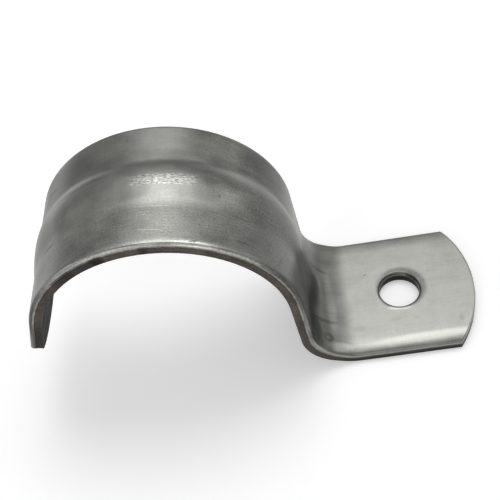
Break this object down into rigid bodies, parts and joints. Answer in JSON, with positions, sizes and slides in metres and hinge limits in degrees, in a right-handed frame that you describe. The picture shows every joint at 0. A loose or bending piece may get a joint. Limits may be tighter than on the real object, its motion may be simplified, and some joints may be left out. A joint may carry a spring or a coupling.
{
  "type": "conduit strap",
  "caption": "One-hole steel strap with a ribbed saddle over the conduit, a short free leg and a flat bolting tab.",
  "frame": {"origin": "on the conduit's axis, at the middle of the strap's width", "axes": "+Y along the conduit, +X from the free leg towards the bolting tab, +Z from the tab's seat up to the saddle's top"},
  "size_m": [0.1157, 0.0376, 0.0597],
  "materials": {
    "steel": "plain mill-finished sheet, satin"
  },
  "bodies": {
    "root": {"strap": "steel"}
  },
  "joints": []
}
